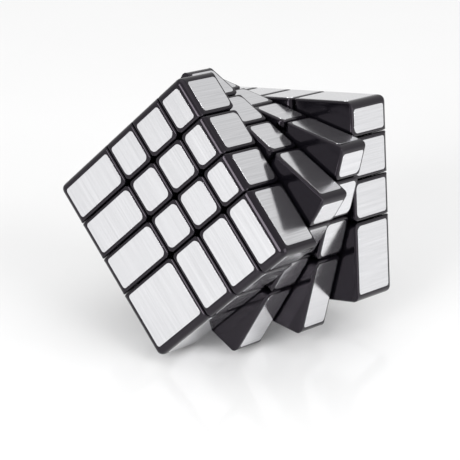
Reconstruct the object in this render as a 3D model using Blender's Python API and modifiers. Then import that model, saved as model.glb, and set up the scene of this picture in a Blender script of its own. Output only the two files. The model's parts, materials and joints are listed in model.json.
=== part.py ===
"""A 4 x 4 x 4 mirror puzzle cube with its four layers fanned about one axis.

Every block is bounded by the same cuts: planes at 0 and at +-CUTS[shell] on each axis, where the
shell depends only on the distance from the centre of the mechanism. Each cut is therefore a
surface of revolution about each axis, and any layer turns freely.

The puzzle's own frame has X to the right, Y away from the front along the twist axis and Z up,
with its origin at the centre of the mechanism. The stance then tips it onto three of its corners.
"""

import math
from itertools import product

import bmesh
import bpy
from mathutils import Matrix, Vector

MM = 0.001

# Blocks. The solved cube is SIDE on every edge: the two inner layers are PITCH thick, and the six
# outer ones grow from the thinnest by one step each.
SIDE = 59.6 * MM
PITCH = 12.5 * MM
GROWTH = 2.65 * MM
THINNEST = (SIDE - 2 * PITCH - 5 * GROWTH) / 2
THICKNESS_ORDER = ("top", "left", "front", "back", "right", "bottom")
EDGE_ROUNDING = 1.1 * MM
HALF_GAP = 0.15 * MM
GAP_GROWTH = 0.05 * MM

# Mechanism. Inside each shell radius the cuts step inwards, so that a corner's foot hooks under
# the edges, an edge's under the centres, and a centre's runs in the grooves of the core ball.
CUTS = (PITCH, 10.0 * MM, 8.0 * MM)
SHELLS = (24.0 * MM, 20.5 * MM, 17.2 * MM)
SHELL_HALF_GAP = 0.35 * MM
BURIED = 3.0 * MM
BALL_TURN = (math.radians(11), 3, Vector((3, 2, 1)))
FINE, COARSE = 3, 2
FINE_FROM = 15.0 * MM

POST_RADIUS = 3.0 * MM
FOOT_RADIUS = 5.0 * MM
FOOT_INSIDE = 11.5 * MM
FOOT_OUTSIDE = 13.4 * MM
POST_TOP = 18.6 * MM
POST_STEPS = 12

GROOVE_GAP = 0.3 * MM
CORE_RADIUS = 10.6 * MM
GROOVE_CEILING = 14.5 * MM
SCREW_HEAD_RADIUS = 2.2 * MM
SCREW_HEAD_HEIGHT = 1.5 * MM
SCREW_RADIUS = 1.0 * MM
SCREW_LENGTH = 15.0 * MM
SCREW_SINK = 9.8 * MM
SCREW_GAP = 0.3 * MM
SLOT_WIDTH = 0.6 * MM
SLOT_DEPTH = 0.6 * MM

# Stance: how far the twist axis drops towards the back, and each layer's turn about it, clockwise
# seen from the front.
AXIS_DROP = math.radians(10.80)
LAYER_TURNS = {
    "front": math.radians(42.20),
    "second": math.radians(24.00),
    "third": math.radians(5.90),
    "back": math.radians(-11.40),
}

LAYERS = tuple(LAYER_TURNS)
KINDS = {3: "corner", 2: "edge", 1: "centre"}

# Cutting tools reach past what they cut by OVERLAP, or to FAR where nothing else is in the way.
OVERLAP = 1.0 * MM
FAR = 2 * SIDE
MERGE_WITHIN = 0.01 * MM
SHARP_FROM = math.radians(30)

# Materials: colour, roughness and metallic value
BLACK_ABS = ((0.012, 0.012, 0.013), 0.28, 0.0)
GREY_NYLON = ((0.35, 0.36, 0.38), 0.45, 0.0)
ZINC_STEEL = ((0.62, 0.62, 0.60), 0.35, 1.0)


def clear_scene():
    for thing in list(bpy.data.objects):
        bpy.data.objects.remove(thing, do_unlink=True)


def new_collection(name):
    collection = bpy.data.collections.new(name)
    bpy.context.scene.collection.children.link(collection)
    return collection


def principled(name, colour, roughness, metallic):
    material = bpy.data.materials.new(name)
    material.use_nodes = True
    shader = material.node_tree.nodes["Principled BSDF"]
    shader.inputs["Base Color"].default_value = (*colour, 1.0)
    shader.inputs["Roughness"].default_value = roughness
    shader.inputs["Metallic"].default_value = metallic
    material.diffuse_color = (*colour, 1.0)
    return material


def object_from(form, name):
    """An object in the parts collection from a bmesh, which is freed."""
    mesh = bpy.data.meshes.new(name)
    form.to_mesh(mesh)
    form.free()
    thing = bpy.data.objects.new(name, mesh)
    PARTS.objects.link(thing)
    return thing


def box(low, high, name="tool"):
    low, high = Vector(low), Vector(high)
    form = bmesh.new()
    bmesh.ops.create_cube(form, size=1.0)
    bmesh.ops.scale(form, vec=high - low, verts=form.verts)
    bmesh.ops.translate(form, vec=(low + high) / 2, verts=form.verts)
    return object_from(form, name)


def ball(radius, name="tool"):
    """A faceted sphere, turned so that none of its edges lies along a cut."""
    form = bmesh.new()
    detail = FINE if radius > FINE_FROM else COARSE
    bmesh.ops.create_icosphere(form, subdivisions=detail, radius=radius)
    bmesh.ops.rotate(form, cent=(0, 0, 0), matrix=Matrix.Rotation(*BALL_TURN), verts=form.verts)
    return object_from(form, name)


def rod(axis, radius, start, end, name="tool"):
    """A cylinder along a unit axis through the centre, from one distance along it to another."""
    form = bmesh.new()
    bmesh.ops.create_cone(
        form, cap_ends=True, segments=POST_STEPS, radius1=radius, radius2=radius, depth=end - start
    )
    turn = Vector((0, 0, 1)).rotation_difference(axis).to_matrix()
    bmesh.ops.rotate(form, cent=(0, 0, 0), matrix=turn, verts=form.verts)
    bmesh.ops.translate(form, vec=axis * (start + end) / 2, verts=form.verts)
    return object_from(form, name)


def settle(body):
    """Gives the body the mesh that its modifiers make, and removes them."""
    graph = bpy.context.evaluated_depsgraph_get()
    body.data = bpy.data.meshes.new_from_object(body.evaluated_get(graph))
    body.modifiers.clear()


def combine(body, operation, tool):
    """Applies one Boolean to the body and removes the tool."""
    modifier = body.modifiers.new(operation, "BOOLEAN")
    modifier.operation = operation
    modifier.object = tool
    settle(body)
    bpy.data.objects.remove(tool, do_unlink=True)
    return body


def face_distances():
    """Distance from the centre of the mechanism to each face of the solved cube."""
    return {
        side: PITCH + THINNEST + GROWTH * order for order, side in enumerate(THICKNESS_ORDER)
    }


def outer_faces():
    """The low and high face of the cube on X, Y and Z."""
    reach = face_distances()
    return (
        (-reach["left"], reach["right"]),
        (-reach["front"], reach["back"]),
        (-reach["bottom"], reach["top"]),
    )


def sign_of(step):
    return -1 if step < 2 else 1


def is_outer(step):
    return step in (0, 3)


def gap(shell):
    """Half the gap at a cut, which grows a little inwards."""
    return HALF_GAP + shell * GAP_GROWTH


def span(step, faces, shell):
    """The low and high bound of one of the four layers along an axis."""
    cut = CUTS[shell]
    if is_outer(step):
        bury = BURIED if shell else 0.0
        face = faces[0] + bury if step == 0 else faces[1] - bury
        ends = (sign_of(step) * (cut + gap(shell)), face)
    else:
        ends = (sign_of(step) * gap(shell), sign_of(step) * (cut - gap(shell)))
    return sorted(ends)


def cell(steps, shell):
    """The corners of the room that a block has in one shell."""
    spans = [span(step, faces, shell) for step, faces in zip(steps, outer_faces())]
    return [low for low, _ in spans], [high for _, high in spans]


def room(steps, shell):
    """A box open-ended outwards, whose far sides are the cuts of this shell on the inner layers."""
    spans = []
    for step in steps:
        end = FAR if is_outer(step) else CUTS[shell] - HALF_GAP
        spans.append(sorted((-sign_of(step) * OVERLAP, sign_of(step) * end)))
    return [low for low, _ in spans], [high for _, high in spans]


def rounded_block(steps, name):
    """The outer part of a block, with its edges rounded."""
    body = box(*cell(steps, 0), name)
    bevel = body.modifiers.new("Rounded edges", "BEVEL")
    bevel.width = EDGE_ROUNDING
    bevel.segments = 1
    bevel.limit_method = "NONE"
    settle(body)
    return body


def hook(steps, shell):
    """The room of a block in an inner shell, cut off at the shell's sphere."""
    foot = box(*cell(steps, shell))
    return combine(foot, "INTERSECT", ball(SHELLS[shell - 1] - SHELL_HALF_GAP))


def neighbours_room(steps, shell):
    """What lies inside a shell's sphere and belongs to the blocks next to this one."""
    sphere = ball(SHELLS[shell - 1] + SHELL_HALF_GAP)
    return combine(sphere, "DIFFERENCE", box(*room(steps, shell)))


def stem(steps):
    """A quarter of the round post and foot that a face's four centres make between them."""
    axis = Vector([sign_of(step) * is_outer(step) for step in steps])
    foot = rod(axis, FOOT_RADIUS, FOOT_INSIDE / 2, FOOT_OUTSIDE + OVERLAP)
    combine(foot, "INTERSECT", ball(FOOT_OUTSIDE))
    combine(foot, "DIFFERENCE", ball(FOOT_INSIDE))
    combine(foot, "UNION", rod(axis, POST_RADIUS, (FOOT_INSIDE + FOOT_OUTSIDE) / 2, POST_TOP))
    spans = []
    for step in steps:
        start = 0.0 if is_outer(step) else gap(len(CUTS))
        spans.append(sorted((sign_of(step) * start, sign_of(step) * FAR)))
    quarter = box([low for low, _ in spans], [high for _, high in spans])
    return combine(foot, "INTERSECT", quarter)


def block(steps, name):
    """One block with its hooks and, on a centre, its stem."""
    kind = KINDS[sum(map(is_outer, steps))]
    body = rounded_block(steps, name)
    if kind != "corner":
        combine(body, "DIFFERENCE", neighbours_room(steps, 1))
    combine(body, "UNION", hook(steps, 1))
    if kind == "corner":
        return combine(body, "DIFFERENCE", ball(SHELLS[1] + SHELL_HALF_GAP))
    combine(body, "DIFFERENCE", neighbours_room(steps, 2))
    combine(body, "UNION", hook(steps, 2))
    combine(body, "DIFFERENCE", ball(SHELLS[2] + SHELL_HALF_GAP))
    if kind == "centre":
        combine(body, "UNION", stem(steps))
    return body


def grooves():
    """The three crossing T-shaped grooves that the centres' feet run in."""
    neck = POST_RADIUS + GROOVE_GAP
    foot = FOOT_RADIUS + GROOVE_GAP
    cutter = slabs(neck)
    combine(cutter, "UNION", combine(slabs(foot), "INTERSECT", ball(GROOVE_CEILING)))
    return combine(cutter, "DIFFERENCE", ball(CORE_RADIUS))


def slabs(half_width):
    """Three slabs through the centre, one across each axis, as one solid."""
    solid = None
    for axis in range(3):
        reach = [SIDE / 2] * 3
        reach[axis] = half_width
        slab = box([-value for value in reach], reach)
        solid = combine(solid, "UNION", slab) if solid else slab
    return solid


def screw_profile(extra):
    """Radius and depth along the screw, from its tip to the middle of its head, plus a clearance."""
    head = SCREW_HEAD_RADIUS + extra
    shank = SCREW_RADIUS + extra
    return (
        (0.0, SCREW_LENGTH + extra),
        (shank, SCREW_LENGTH - SCREW_RADIUS + extra),
        (shank, SCREW_HEAD_HEIGHT + extra),
        (head, SCREW_HEAD_HEIGHT + extra),
        (head, -extra),
        (0.0, -extra),
    )


def turned_screw(name, extra=0.0):
    """The screw's solid of revolution along the twist axis, head towards the front."""
    form = bmesh.new()
    points = [form.verts.new((radius, depth, 0)) for radius, depth in screw_profile(extra)]
    for first, second in zip(points, points[1:]):
        form.edges.new((first, second))
    thing = object_from(form, name)
    turned = thing.modifiers.new("Turned", "SCREW")
    turned.axis = "Y"
    turned.steps = turned.render_steps = POST_STEPS
    turned.use_merge_vertices = True
    turned.merge_threshold = MERGE_WITHIN
    settle(thing)
    shift = Matrix.Translation((0, -SCREW_SINK, 0))
    thing.data.transform(shift)
    return thing


def core_half(name, side):
    """Half of the core ball: side is -1 in front of the middle plane and 1 behind it."""
    half = ball(SHELLS[2] - SHELL_HALF_GAP, name)
    combine(half, "DIFFERENCE", grooves())
    low, high = sorted((side * HALF_GAP, side * FAR))
    combine(half, "INTERSECT", box((-FAR, low, -FAR), (FAR, high, FAR)))
    combine(half, "DIFFERENCE", turned_screw("tool", SCREW_GAP))
    if side < 0:
        forward = Vector((0, -1, 0))
        start, end = SCREW_SINK - OVERLAP, CORE_RADIUS + OVERLAP
        combine(half, "DIFFERENCE", rod(forward, SCREW_HEAD_RADIUS + SCREW_GAP, start, end))
    return half


def core_screw(name):
    """The screw that holds the two halves of the core together."""
    screw = turned_screw(name)
    low = (-FAR, -SCREW_SINK - OVERLAP, -SLOT_WIDTH / 2)
    high = (FAR, -SCREW_SINK + SLOT_DEPTH, SLOT_WIDTH / 2)
    return combine(screw, "DIFFERENCE", box(low, high))


def empty(name, parent, rotation):
    """A pivot at the centre of the mechanism, on the twist axis."""
    pivot = bpy.data.objects.new(name, None)
    pivot.empty_display_size = SIDE / 2
    pivot.rotation_euler = rotation
    pivot.parent = parent
    PARTS.objects.link(pivot)
    return pivot


def hold(thing, pivot, material):
    thing.parent = pivot
    thing.data.materials.clear()
    thing.data.materials.append(material)
    thing.data.shade_smooth()
    thing.data.set_sharp_from_angle(angle=SHARP_FROM)


def stand_on_floor(stance):
    """Moves the whole puzzle so that the middle of its box's base is the origin."""
    bpy.context.view_layer.update()
    points = [
        thing.matrix_world @ vertex.co
        for thing in PARTS.objects
        if thing.type == "MESH"
        for vertex in thing.data.vertices
    ]
    low = Vector([min(values) for values in zip(*points)])
    high = Vector([max(values) for values in zip(*points)])
    middle = (low + high) / 2
    stance.location = (-middle.x, -middle.y, -low.z)


def build():
    black = principled("black_abs", *BLACK_ABS)
    nylon = principled("grey_nylon", *GREY_NYLON)
    steel = principled("zinc_steel", *ZINC_STEEL)
    stance = empty("puzzle_stance", None, (-AXIS_DROP, 0, 0))
    pivots = {
        layer: empty(f"{layer}_layer_pivot", stance, (0, turn, 0))
        for layer, turn in LAYER_TURNS.items()
    }
    for steps in product(range(4), repeat=3):
        outer = sum(map(is_outer, steps))
        if outer:
            column, layer, row = steps[0] + 1, LAYERS[steps[1]], 4 - steps[2]
            name = f"{layer}_r{row}c{column}_{KINDS[outer]}"
            hold(block(steps, name), pivots[layer], black)
    hold(core_half("core_front_half", -1), pivots["third"], nylon)
    hold(core_half("core_back_half", 1), pivots["third"], nylon)
    hold(core_screw("core_screw"), pivots["third"], steel)
    stand_on_floor(stance)


clear_scene()
PARTS = new_collection("mirror_puzzle_cube")
build()
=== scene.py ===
import json
import math
from itertools import product

import bmesh
import bpy
from mathutils import Matrix, Vector


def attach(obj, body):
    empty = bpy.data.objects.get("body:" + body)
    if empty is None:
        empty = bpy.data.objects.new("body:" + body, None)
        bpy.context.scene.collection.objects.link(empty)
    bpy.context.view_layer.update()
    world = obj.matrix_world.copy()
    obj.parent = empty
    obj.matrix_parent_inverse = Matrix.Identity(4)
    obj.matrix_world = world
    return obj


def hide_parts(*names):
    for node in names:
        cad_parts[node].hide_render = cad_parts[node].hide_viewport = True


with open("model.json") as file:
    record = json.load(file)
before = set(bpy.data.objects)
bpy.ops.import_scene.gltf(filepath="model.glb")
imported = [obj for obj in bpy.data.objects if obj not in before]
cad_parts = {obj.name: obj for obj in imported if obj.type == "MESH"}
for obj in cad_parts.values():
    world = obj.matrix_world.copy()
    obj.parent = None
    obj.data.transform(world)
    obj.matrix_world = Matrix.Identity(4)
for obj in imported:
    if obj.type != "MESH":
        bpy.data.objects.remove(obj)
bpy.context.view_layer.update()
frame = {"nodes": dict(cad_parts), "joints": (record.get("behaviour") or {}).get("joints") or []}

# The mirror puzzle cube: 56 black blocks with silver foils, their four layers fanned about one
# axis. The puzzle's own frame has X to the right, Y away from the front along that axis and Z up,
# with its origin at the centre of the mechanism.

MM = 0.001

# Blocks, as in the CAD
SIDE = 59.6 * MM
PITCH = 12.5 * MM
GROWTH = 2.65 * MM
THINNEST = (SIDE - 2 * PITCH - 5 * GROWTH) / 2
THICKNESS_ORDER = ("top", "left", "front", "back", "right", "bottom")
HALF_GAP = 0.15 * MM
GAP_GROWTH = 0.05 * MM
CUTS = (PITCH, 10.0 * MM, 8.0 * MM)
SHELLS = (24.0 * MM, 20.5 * MM, 17.2 * MM)
SHELL_HALF_GAP = 0.35 * MM
BURIED = 3.0 * MM
BALL_TURN = (math.radians(11), 3, Vector((3, 2, 1)))
BALL_DETAIL = 4
POST_RADIUS = 3.0 * MM
FOOT_RADIUS = 5.0 * MM
FOOT_INSIDE = 11.5 * MM
FOOT_OUTSIDE = 13.4 * MM
POST_TOP = 18.6 * MM
POST_STEPS = 32

# Rounding of a block's edges, by how many of an edge's two faces are outside ones
RADIAL_ROUNDING = 2.0 * MM
SEAM_ROUNDING = 0.7 * MM
RIM_ROUNDING = 2.0 * MM
ROUNDINGS = (RADIAL_ROUNDING, SEAM_ROUNDING, RIM_ROUNDING)
ROUNDING_SEGMENTS = 5
SHARP_FROM = math.radians(30)

# Foils: how far they stop short of a cut and of the cube's own edge, and their corners
FOIL_CUT_INSET = 1.2 * MM
FOIL_RIM_INSET = 2.3 * MM
FOIL_JUNCTION_CORNER = 1.7 * MM
FOIL_RIM_CORNER = 0.9 * MM
FOIL_HEIGHT = 0.07 * MM
FOIL_SUNK = 0.05 * MM
FOIL_BEVEL = 0.02 * MM
FOIL_BEVEL_SEGMENTS = 2
CORNER_STEPS = 8

# Layers from the front to the back, with their turns about the axis
LAYER_TURNS = {
    "front": math.radians(42.20),
    "second": math.radians(24.00),
    "third": math.radians(5.90),
    "back": math.radians(-11.40),
}
LAYERS = tuple(LAYER_TURNS)
KINDS = {3: "corner", 2: "edge", 1: "centre"}
FAR = 2 * SIDE
MERGE_WITHIN = 0.005 * MM

centre = Vector(frame["joints"][0]["pos_m"])
axis_drop = math.asin(-frame["joints"][0]["axis"][2])
stance = Matrix.Translation(centre) @ Matrix.Rotation(-axis_drop, 4, "X")

# Finishes: the two colours that each one's noise runs between
PLASTIC_TINT = (0.97, 0.86, 1.0, 1.0)
PLASTIC_COLOURS = (0.0028, 0.0025, 0.0038), (0.0040, 0.0036, 0.0052)
FOIL_COLOURS = (0.61, 0.61, 0.63), (0.95, 0.95, 0.97)
NYLON_COLOURS = (0.30, 0.31, 0.33), (0.38, 0.39, 0.41)
STEEL_COLOURS = (0.52, 0.53, 0.52), (0.66, 0.66, 0.64)
FLOOR_COLOURS = (0.87, 0.87, 0.87), (0.89, 0.89, 0.89)
NOISE_RANGE = (0.3, 0.7)

# Camera
LENS = 175.6
SENSOR = 36.0
CAMERA_AZIMUTH = math.radians(38.33)
CAMERA_ELEVATION = math.radians(26.556)
CAMERA_ROLL = math.radians(-0.11)
CAMERA_DISTANCE = 662.17 * MM
CAMERA_AIM = Vector((4.25, -5.57, 32.35)) * MM

# Studio: a round floor, the radiance of an even surround, and the soft boxes, each with its
# direction, distance, width, height and radiance
FLOOR_RADIUS = 6.0
FLOOR_STEPS = 96
SURROUND = 0.72
SOFT_BOXES = {
    "key_light": ((0.0, -0.93, 0.38), 1.0, 0.45, 0.50, 7.5),
    "top_light": ((0.0, 0.1, 1.0), 2.0, 2.0, 2.0, 0.7),
    "right_light": ((1.0, 0.1, 0.4), 1.2, 1.0, 1.0, 2.4),
}


# ---------------------------------------------------------------- mesh helpers


def object_from(form, name):
    mesh = bpy.data.meshes.new(name)
    form.to_mesh(mesh)
    form.free()
    thing = bpy.data.objects.new(name, mesh)
    bpy.context.scene.collection.objects.link(thing)
    return thing


def box_form(low, high):
    low, high = Vector(low), Vector(high)
    form = bmesh.new()
    bmesh.ops.create_cube(form, size=1.0)
    bmesh.ops.scale(form, vec=high - low, verts=form.verts)
    bmesh.ops.translate(form, vec=(low + high) / 2, verts=form.verts)
    return form


def box(low, high):
    return object_from(box_form(low, high), "tool")


def ball(radius):
    """A fine sphere, turned so that none of its edges lies along a cut."""
    form = bmesh.new()
    bmesh.ops.create_icosphere(form, subdivisions=BALL_DETAIL, radius=radius)
    bmesh.ops.rotate(form, cent=(0, 0, 0), matrix=Matrix.Rotation(*BALL_TURN), verts=form.verts)
    return object_from(form, "tool")


def rod(axis, radius, start, end):
    form = bmesh.new()
    bmesh.ops.create_cone(
        form, cap_ends=True, segments=POST_STEPS, radius1=radius, radius2=radius, depth=end - start
    )
    turn = Vector((0, 0, 1)).rotation_difference(axis).to_matrix()
    bmesh.ops.rotate(form, cent=(0, 0, 0), matrix=turn, verts=form.verts)
    bmesh.ops.translate(form, vec=axis * (start + end) / 2, verts=form.verts)
    return object_from(form, "tool")


def settle(body):
    """Gives the body the mesh that its modifiers make, and removes them."""
    graph = bpy.context.evaluated_depsgraph_get()
    body.data = bpy.data.meshes.new_from_object(body.evaluated_get(graph))
    body.modifiers.clear()


def combine(body, operation, tool):
    modifier = body.modifiers.new(operation, "BOOLEAN")
    modifier.operation = operation
    modifier.object = tool
    settle(body)
    bpy.data.objects.remove(tool, do_unlink=True)
    return body


# ---------------------------------------------------------------- blocks


def outer_faces():
    """The low and high face of the cube on X, Y and Z."""
    reach = {
        side: PITCH + THINNEST + GROWTH * order for order, side in enumerate(THICKNESS_ORDER)
    }
    return (
        (-reach["left"], reach["right"]),
        (-reach["front"], reach["back"]),
        (-reach["bottom"], reach["top"]),
    )


def sign_of(step):
    return -1 if step < 2 else 1


def is_outer(step):
    return step in (0, 3)


def gap(shell):
    return HALF_GAP + shell * GAP_GROWTH


def span(step, faces, shell):
    """The low and high bound of one of the four layers along an axis."""
    cut = CUTS[shell]
    if is_outer(step):
        bury = BURIED if shell else 0.0
        face = faces[0] + bury if step == 0 else faces[1] - bury
        ends = (sign_of(step) * (cut + gap(shell)), face)
    else:
        ends = (sign_of(step) * gap(shell), sign_of(step) * (cut - gap(shell)))
    return sorted(ends)


def cell(steps, shell):
    """The corners of the room that a block has in one shell."""
    spans = [span(step, faces, shell) for step, faces in zip(steps, outer_faces())]
    return [low for low, _ in spans], [high for _, high in spans]


def room(steps, shell):
    """A box open-ended outwards, whose far sides are the cuts of this shell on the inner layers."""
    spans = []
    for step in steps:
        end = FAR if is_outer(step) else CUTS[shell] - HALF_GAP
        spans.append(sorted((-sign_of(step) * MM, sign_of(step) * end)))
    return [low for low, _ in spans], [high for _, high in spans]


def is_outside(face, steps):
    """True if this face of a block's box is one of the cube's own faces."""
    axis = max(range(3), key=lambda index: abs(face.normal[index]))
    return is_outer(steps[axis]) and face.normal[axis] * sign_of(steps[axis]) > 0


def rounded_block(steps, name):
    """The outer part of a block: each edge is rounded by what it separates."""
    form = box_form(*cell(steps, 0))
    form.normal_update()
    weight = form.edges.layers.float.new("bevel_weight_edge")
    for edge in form.edges:
        outside = sum(is_outside(face, steps) for face in edge.link_faces)
        edge[weight] = ROUNDINGS[outside] / RADIAL_ROUNDING
    body = object_from(form, name)
    bevel = body.modifiers.new("Rounded edges", "BEVEL")
    bevel.width = RADIAL_ROUNDING
    bevel.segments = ROUNDING_SEGMENTS
    bevel.limit_method = "WEIGHT"
    settle(body)
    return body


def hook(steps, shell):
    """The room of a block in an inner shell, cut off at the shell's sphere."""
    return combine(box(*cell(steps, shell)), "INTERSECT", ball(SHELLS[shell - 1] - SHELL_HALF_GAP))


def neighbours_room(steps, shell):
    """What lies inside a shell's sphere and belongs to the blocks next to this one."""
    return combine(ball(SHELLS[shell - 1] + SHELL_HALF_GAP), "DIFFERENCE", box(*room(steps, shell)))


def stem(steps):
    """A quarter of the round post and foot that a face's four centres make between them."""
    axis = Vector([sign_of(step) * is_outer(step) for step in steps])
    foot = rod(axis, FOOT_RADIUS, FOOT_INSIDE / 2, FOOT_OUTSIDE + MM)
    combine(foot, "INTERSECT", ball(FOOT_OUTSIDE))
    combine(foot, "DIFFERENCE", ball(FOOT_INSIDE))
    combine(foot, "UNION", rod(axis, POST_RADIUS, (FOOT_INSIDE + FOOT_OUTSIDE) / 2, POST_TOP))
    spans = []
    for step in steps:
        start = 0.0 if is_outer(step) else gap(len(CUTS))
        spans.append(sorted((sign_of(step) * start, sign_of(step) * FAR)))
    return combine(foot, "INTERSECT", box([low for low, _ in spans], [high for _, high in spans]))


def add_mechanism(body, steps, kind):
    """The hooks and, on a centre, the stem, which hold the block in the puzzle."""
    if kind != "corner":
        combine(body, "DIFFERENCE", neighbours_room(steps, 1))
    combine(body, "UNION", hook(steps, 1))
    if kind == "corner":
        combine(body, "DIFFERENCE", ball(SHELLS[1] + SHELL_HALF_GAP))
        return
    combine(body, "DIFFERENCE", neighbours_room(steps, 2))
    combine(body, "UNION", hook(steps, 2))
    combine(body, "DIFFERENCE", ball(SHELLS[2] + SHELL_HALF_GAP))
    if kind == "centre":
        combine(body, "UNION", stem(steps))


def clean(body):
    """Merges the points and drops the slivers that Booleans leave."""
    form = bmesh.new()
    form.from_mesh(body.data)
    bmesh.ops.remove_doubles(form, verts=form.verts, dist=MERGE_WITHIN)
    bmesh.ops.dissolve_degenerate(form, edges=form.edges, dist=MERGE_WITHIN)
    bmesh.ops.holes_fill(form, edges=[edge for edge in form.edges if edge.is_boundary], sides=4)
    form.to_mesh(body.data)
    form.free()


def smooth(body):
    """Flat faces stay flat and rounded edges round in the shading."""
    body.data.shade_smooth()
    body.data.set_sharp_from_angle(angle=SHARP_FROM)
    weighted = body.modifiers.new("Weighted normals", "WEIGHTED_NORMAL")
    weighted.keep_sharp = True


# ---------------------------------------------------------------- foils


def foil_outline(width, height, corners):
    """Points round a rectangle about the origin. Each corner is an x sign, a y sign and a radius."""
    points = []
    for x_sign, y_sign, radius in corners:
        middle = Vector((x_sign * (width / 2 - radius), y_sign * (height / 2 - radius), 0))
        start = math.atan2(y_sign, x_sign) - math.pi / 4
        for step in range(CORNER_STEPS + 1):
            angle = start + step / CORNER_STEPS * math.pi / 2
            points.append(middle + radius * Vector((math.cos(angle), math.sin(angle), 0)))
    return points


def foil(name, width, height, corners):
    """A thin plate with a softened upper edge, in its own XY plane, with its streaks along X."""
    form = bmesh.new()
    outline = [form.verts.new(point) for point in foil_outline(width, height, corners)]
    top = form.faces.new(outline)
    form.normal_update()
    bmesh.ops.translate(form, vec=(0, 0, FOIL_HEIGHT), verts=form.verts)
    sides = bmesh.ops.extrude_face_region(form, geom=[top])
    lower = [part for part in sides["geom"] if isinstance(part, bmesh.types.BMVert)]
    bmesh.ops.translate(form, vec=(0, 0, -FOIL_HEIGHT - FOIL_SUNK), verts=lower)
    bmesh.ops.recalc_face_normals(form, faces=form.faces)
    rim = [
        edge for edge in form.edges if all(vertex.co.z > FOIL_HEIGHT / 2 for vertex in edge.verts)
    ]
    bmesh.ops.bevel(
        form,
        geom=rim,
        offset=FOIL_BEVEL,
        segments=FOIL_BEVEL_SEGMENTS,
        profile=0.5,
        affect="EDGES",
    )
    uv = form.loops.layers.uv.new("brushed")
    for face in form.faces:
        for loop in face.loops:
            loop[uv].uv = (loop.vert.co.x, loop.vert.co.y)
    thing = object_from(form, name)
    smooth(thing)
    return thing


def face_names(axis, sign):
    return (("left", "right"), ("front", "back"), ("bottom", "top"))[axis][sign > 0]


def foil_place(axis, sign, steps):
    """Where a foil lies on a block: its size, its corners and its matrix in the puzzle's frame."""
    faces = outer_faces()
    streak = 0 if axis == 1 else 1
    across = 3 - axis - streak
    lows, highs = [0.0] * 3, [0.0] * 3
    for index in (streak, across):
        step = steps[index]
        low, high = sorted((0.0, sign_of(step) * PITCH))
        low, high = low + FOIL_CUT_INSET, high - FOIL_CUT_INSET
        if step == 0:
            low, high = faces[index][0] + FOIL_RIM_INSET, -PITCH - FOIL_CUT_INSET
        if step == 3:
            low, high = PITCH + FOIL_CUT_INSET, faces[index][1] - FOIL_RIM_INSET
        lows[index], highs[index] = low, high
    lows[axis] = highs[axis] = faces[axis][sign > 0]
    normal, along = Vector((0, 0, 0)), Vector((0, 0, 0))
    normal[axis], along[streak] = sign, 1
    side = normal.cross(along)
    turn = Matrix((along, side, normal)).transposed().to_4x4()
    matrix = Matrix.Translation((Vector(lows) + Vector(highs)) / 2) @ turn
    corners = []
    for x_sign, y_sign in ((1, 1), (-1, 1), (-1, -1), (1, -1)):
        at_rim = is_rim(steps[streak], x_sign) or is_rim(steps[across], y_sign * side[across])
        corners.append((x_sign, y_sign, FOIL_RIM_CORNER if at_rim else FOIL_JUNCTION_CORNER))
    return highs[streak] - lows[streak], highs[across] - lows[across], corners, matrix


def is_rim(step, direction):
    """True if going this way along an axis from a layer leads off the cube."""
    return is_outer(step) and sign_of(step) * direction > 0


# ---------------------------------------------------------------- materials


class Nodes:
    """Short ways to add and link the nodes of one material."""

    def __init__(self, tree):
        self.tree = tree

    def add(self, kind, **settings):
        node = self.tree.nodes.new(kind)
        for name, value in settings.items():
            setattr(node, name, value)
        return node

    def link(self, source, target):
        self.tree.links.new(source, target)

    def noise(self, vector, scale, detail=2.0, w=None):
        node = self.add("ShaderNodeTexNoise", noise_dimensions="4D" if w else "3D")
        node.inputs["Scale"].default_value = scale
        node.inputs["Detail"].default_value = detail
        self.link(vector, node.inputs["Vector"])
        if w:
            self.link(w, node.inputs["W"])
        return node.outputs["Fac"]

    def stretched(self, vector, scale):
        node = self.add("ShaderNodeMapping")
        node.inputs["Scale"].default_value = scale
        self.link(vector, node.inputs["Vector"])
        return node.outputs["Vector"]

    def remap(self, value, low, high):
        node = self.add("ShaderNodeMapRange")
        node.inputs["From Min"].default_value = NOISE_RANGE[0]
        node.inputs["From Max"].default_value = NOISE_RANGE[1]
        node.inputs["To Min"].default_value = low
        node.inputs["To Max"].default_value = high
        self.link(value, node.inputs["Value"])
        return node.outputs["Result"]

    def blend(self, factor, first, second):
        node = self.add("ShaderNodeMix", data_type="RGBA")
        node.inputs["A"].default_value = (*first, 1.0)
        node.inputs["B"].default_value = (*second, 1.0)
        self.link(factor, node.inputs["Factor"])
        return node.outputs["Result"]

    def bump(self, height, distance):
        node = self.add("ShaderNodeBump")
        node.inputs["Strength"].default_value = 1.0
        node.inputs["Distance"].default_value = distance
        self.link(height, node.inputs["Height"])
        return node.outputs["Normal"]


def material(name, **sockets):
    """A Principled material with these socket values, its node helper and its shader."""
    made = bpy.data.materials.new(name)
    made.use_nodes = True
    shader = made.node_tree.nodes["Principled BSDF"]
    for socket, value in sockets.items():
        shader.inputs[socket.replace("_", " ")].default_value = value
    return made, Nodes(made.node_tree), shader


def black_plastic():
    """Moulded black ABS: glossy, with a faint orange peel and a few dull patches."""
    made, nodes, shader = material(
        "black_abs", Specular_IOR_Level=0.38, Specular_Tint=PLASTIC_TINT
    )
    place = nodes.add("ShaderNodeTexCoord").outputs["Object"]
    patches = nodes.noise(place, 160.0, 4.0)
    peel = nodes.noise(place, 900.0, 2.0)
    nodes.link(nodes.blend(patches, *PLASTIC_COLOURS), shader.inputs["Base Color"])
    nodes.link(nodes.remap(patches, 0.10, 0.14), shader.inputs["Roughness"])
    nodes.link(nodes.bump(peel, 0.002 * MM), shader.inputs["Normal"])
    return made


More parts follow.
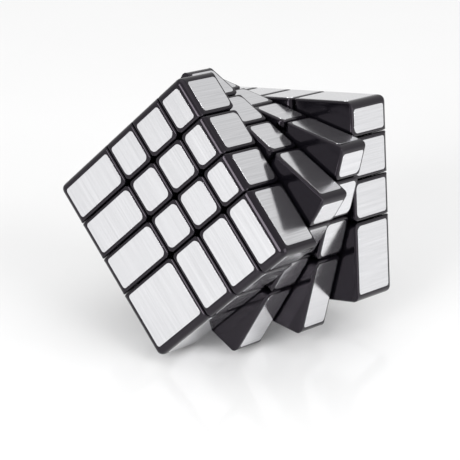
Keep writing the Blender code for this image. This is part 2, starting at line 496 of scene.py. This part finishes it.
def silver_foil():
    """Brushed silver film: a near mirror along its streaks and blurred across them."""
    made, nodes, shader = material(
        "brushed_silver", Metallic=0.96, Anisotropic=0.8, Anisotropic_Rotation=0.25
    )
    place = nodes.add("ShaderNodeTexCoord").outputs["Object"]
    shift = nodes.add("ShaderNodeMath", operation="MULTIPLY")
    shift.inputs[1].default_value = 50.0
    nodes.link(nodes.add("ShaderNodeObjectInfo").outputs["Random"], shift.inputs[0])
    own = shift.outputs["Value"]
    fine = nodes.noise(nodes.stretched(place, (0.02, 1.0, 1.0)), 2600.0, 3.0, own)
    broad = nodes.noise(nodes.stretched(place, (0.03, 1.0, 1.0)), 700.0, 2.0, own)
    tangent = nodes.add("ShaderNodeTangent", direction_type="UV_MAP", uv_map="brushed")
    nodes.link(tangent.outputs["Tangent"], shader.inputs["Tangent"])
    nodes.link(nodes.blend(fine, *FOIL_COLOURS), shader.inputs["Base Color"])
    nodes.link(nodes.remap(broad, 0.14, 0.19), shader.inputs["Roughness"])
    nodes.link(nodes.bump(fine, 0.004 * MM), shader.inputs["Normal"])
    return made


def core_nylon():
    """Grey moulded nylon with a slight mottle."""
    made, nodes, shader = material("core_nylon")
    place = nodes.add("ShaderNodeTexCoord").outputs["Object"]
    mottle = nodes.noise(place, 300.0, 4.0)
    nodes.link(nodes.blend(mottle, *NYLON_COLOURS), shader.inputs["Base Color"])
    nodes.link(nodes.remap(mottle, 0.40, 0.55), shader.inputs["Roughness"])
    nodes.link(nodes.bump(mottle, 0.02 * MM), shader.inputs["Normal"])
    return made


def screw_steel():
    """Zinc-plated steel with turning marks along the screw."""
    made, nodes, shader = material("zinc_steel", Metallic=1.0)
    place = nodes.add("ShaderNodeTexCoord").outputs["Object"]
    marks = nodes.noise(nodes.stretched(place, (1.0, 0.1, 1.0)), 2500.0, 2.0)
    nodes.link(nodes.blend(marks, *STEEL_COLOURS), shader.inputs["Base Color"])
    nodes.link(nodes.remap(marks, 0.28, 0.42), shader.inputs["Roughness"])
    return made


def floor_white():
    """Glossy white table."""
    made, nodes, shader = material("floor_white", Roughness=0.12)
    place = nodes.add("ShaderNodeTexCoord").outputs["Object"]
    haze = nodes.noise(place, 20.0, 2.0)
    nodes.link(nodes.blend(haze, *FLOOR_COLOURS), shader.inputs["Base Color"])
    return made


def paint(thing, made):
    thing.data.materials.clear()
    thing.data.materials.append(made)


# ---------------------------------------------------------------- the object


def add_foils(steps, node, layer, place, silver):
    for axis in range(3):
        if not is_outer(steps[axis]):
            continue
        sign = sign_of(steps[axis])
        width, height, corners, matrix = foil_place(axis, sign, steps)
        piece = foil(f"{node}_{face_names(axis, sign)}_foil", width, height, corners)
        paint(piece, silver)
        piece.matrix_world = place @ matrix
        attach(piece, f"{layer}_layer")


def add_block(steps, black, silver):
    outer = sum(map(is_outer, steps))
    layer = LAYERS[steps[1]]
    kind = KINDS[outer]
    node = f"{layer}_r{4 - steps[2]}c{steps[0] + 1}_{kind}"
    piece = rounded_block(steps, f"{node}_block")
    add_mechanism(piece, steps, kind)
    clean(piece)
    smooth(piece)
    paint(piece, black)
    place = stance @ Matrix.Rotation(LAYER_TURNS[layer], 4, "Y")
    piece.matrix_world = place
    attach(piece, f"{layer}_layer")
    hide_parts(node)
    add_foils(steps, node, layer, place, silver)


def build_object():
    black, silver = black_plastic(), silver_foil()
    for steps in product(range(4), repeat=3):
        if any(map(is_outer, steps)):
            add_block(steps, black, silver)
    nylon, steel = core_nylon(), screw_steel()
    for node, made, slot in (
        ("core_front_half", nylon, "core_nylon"),
        ("core_back_half", nylon, "core_nylon"),
        ("core_screw", steel, "screw_steel"),
    ):
        paint(frame["nodes"][node], made)


# ---------------------------------------------------------------- the stage


def build_floor():
    form = bmesh.new()
    bmesh.ops.create_circle(form, cap_ends=True, segments=FLOOR_STEPS, radius=FLOOR_RADIUS)
    floor = object_from(form, "floor")
    paint(floor, floor_white())


def soft_light(name, direction, distance, width, height, radiance):
    """A rectangular soft box that faces the puzzle from a direction, with a given radiance."""
    light = bpy.data.lights.new(name, "AREA")
    light.shape = "RECTANGLE"
    light.size, light.size_y = width, height
    light.energy = radiance * math.pi * width * height
    thing = bpy.data.objects.new(name, light)
    bpy.context.scene.collection.objects.link(thing)
    away = Vector(direction).normalized()
    thing.location = centre + away * distance
    thing.rotation_mode = "QUATERNION"
    thing.rotation_quaternion = away.to_track_quat("Z", "Y")


def build_world():
    """The same pale light from every side."""
    world = bpy.data.worlds.new("studio")
    world.use_nodes = True
    back = world.node_tree.nodes["Background"]
    back.inputs["Color"].default_value = (1.0, 1.0, 1.0, 1.0)
    back.inputs["Strength"].default_value = SURROUND
    bpy.context.scene.world = world


def build_camera():
    camera = bpy.data.cameras.new("camera")
    camera.lens = LENS
    camera.sensor_width = SENSOR
    camera.clip_start, camera.clip_end = 0.05, 50.0
    thing = bpy.data.objects.new("camera", camera)
    bpy.context.scene.collection.objects.link(thing)
    level = math.cos(CAMERA_ELEVATION)
    back = Vector((
        math.sin(CAMERA_AZIMUTH) * level,
        -math.cos(CAMERA_AZIMUTH) * level,
        math.sin(CAMERA_ELEVATION),
    ))
    thing.rotation_mode = "QUATERNION"
    roll = Matrix.Rotation(CAMERA_ROLL, 4, back)
    turn = roll @ (-back).to_track_quat("-Z", "Y").to_matrix().to_4x4()
    thing.matrix_world = Matrix.Translation(CAMERA_AIM + back * CAMERA_DISTANCE) @ turn
    bpy.context.scene.camera = thing


build_object()
build_floor()
build_world()
for light_name, light_settings in SOFT_BOXES.items():
    soft_light(light_name, *light_settings)
build_camera()
bpy.context.scene.view_settings.view_transform = "Standard"
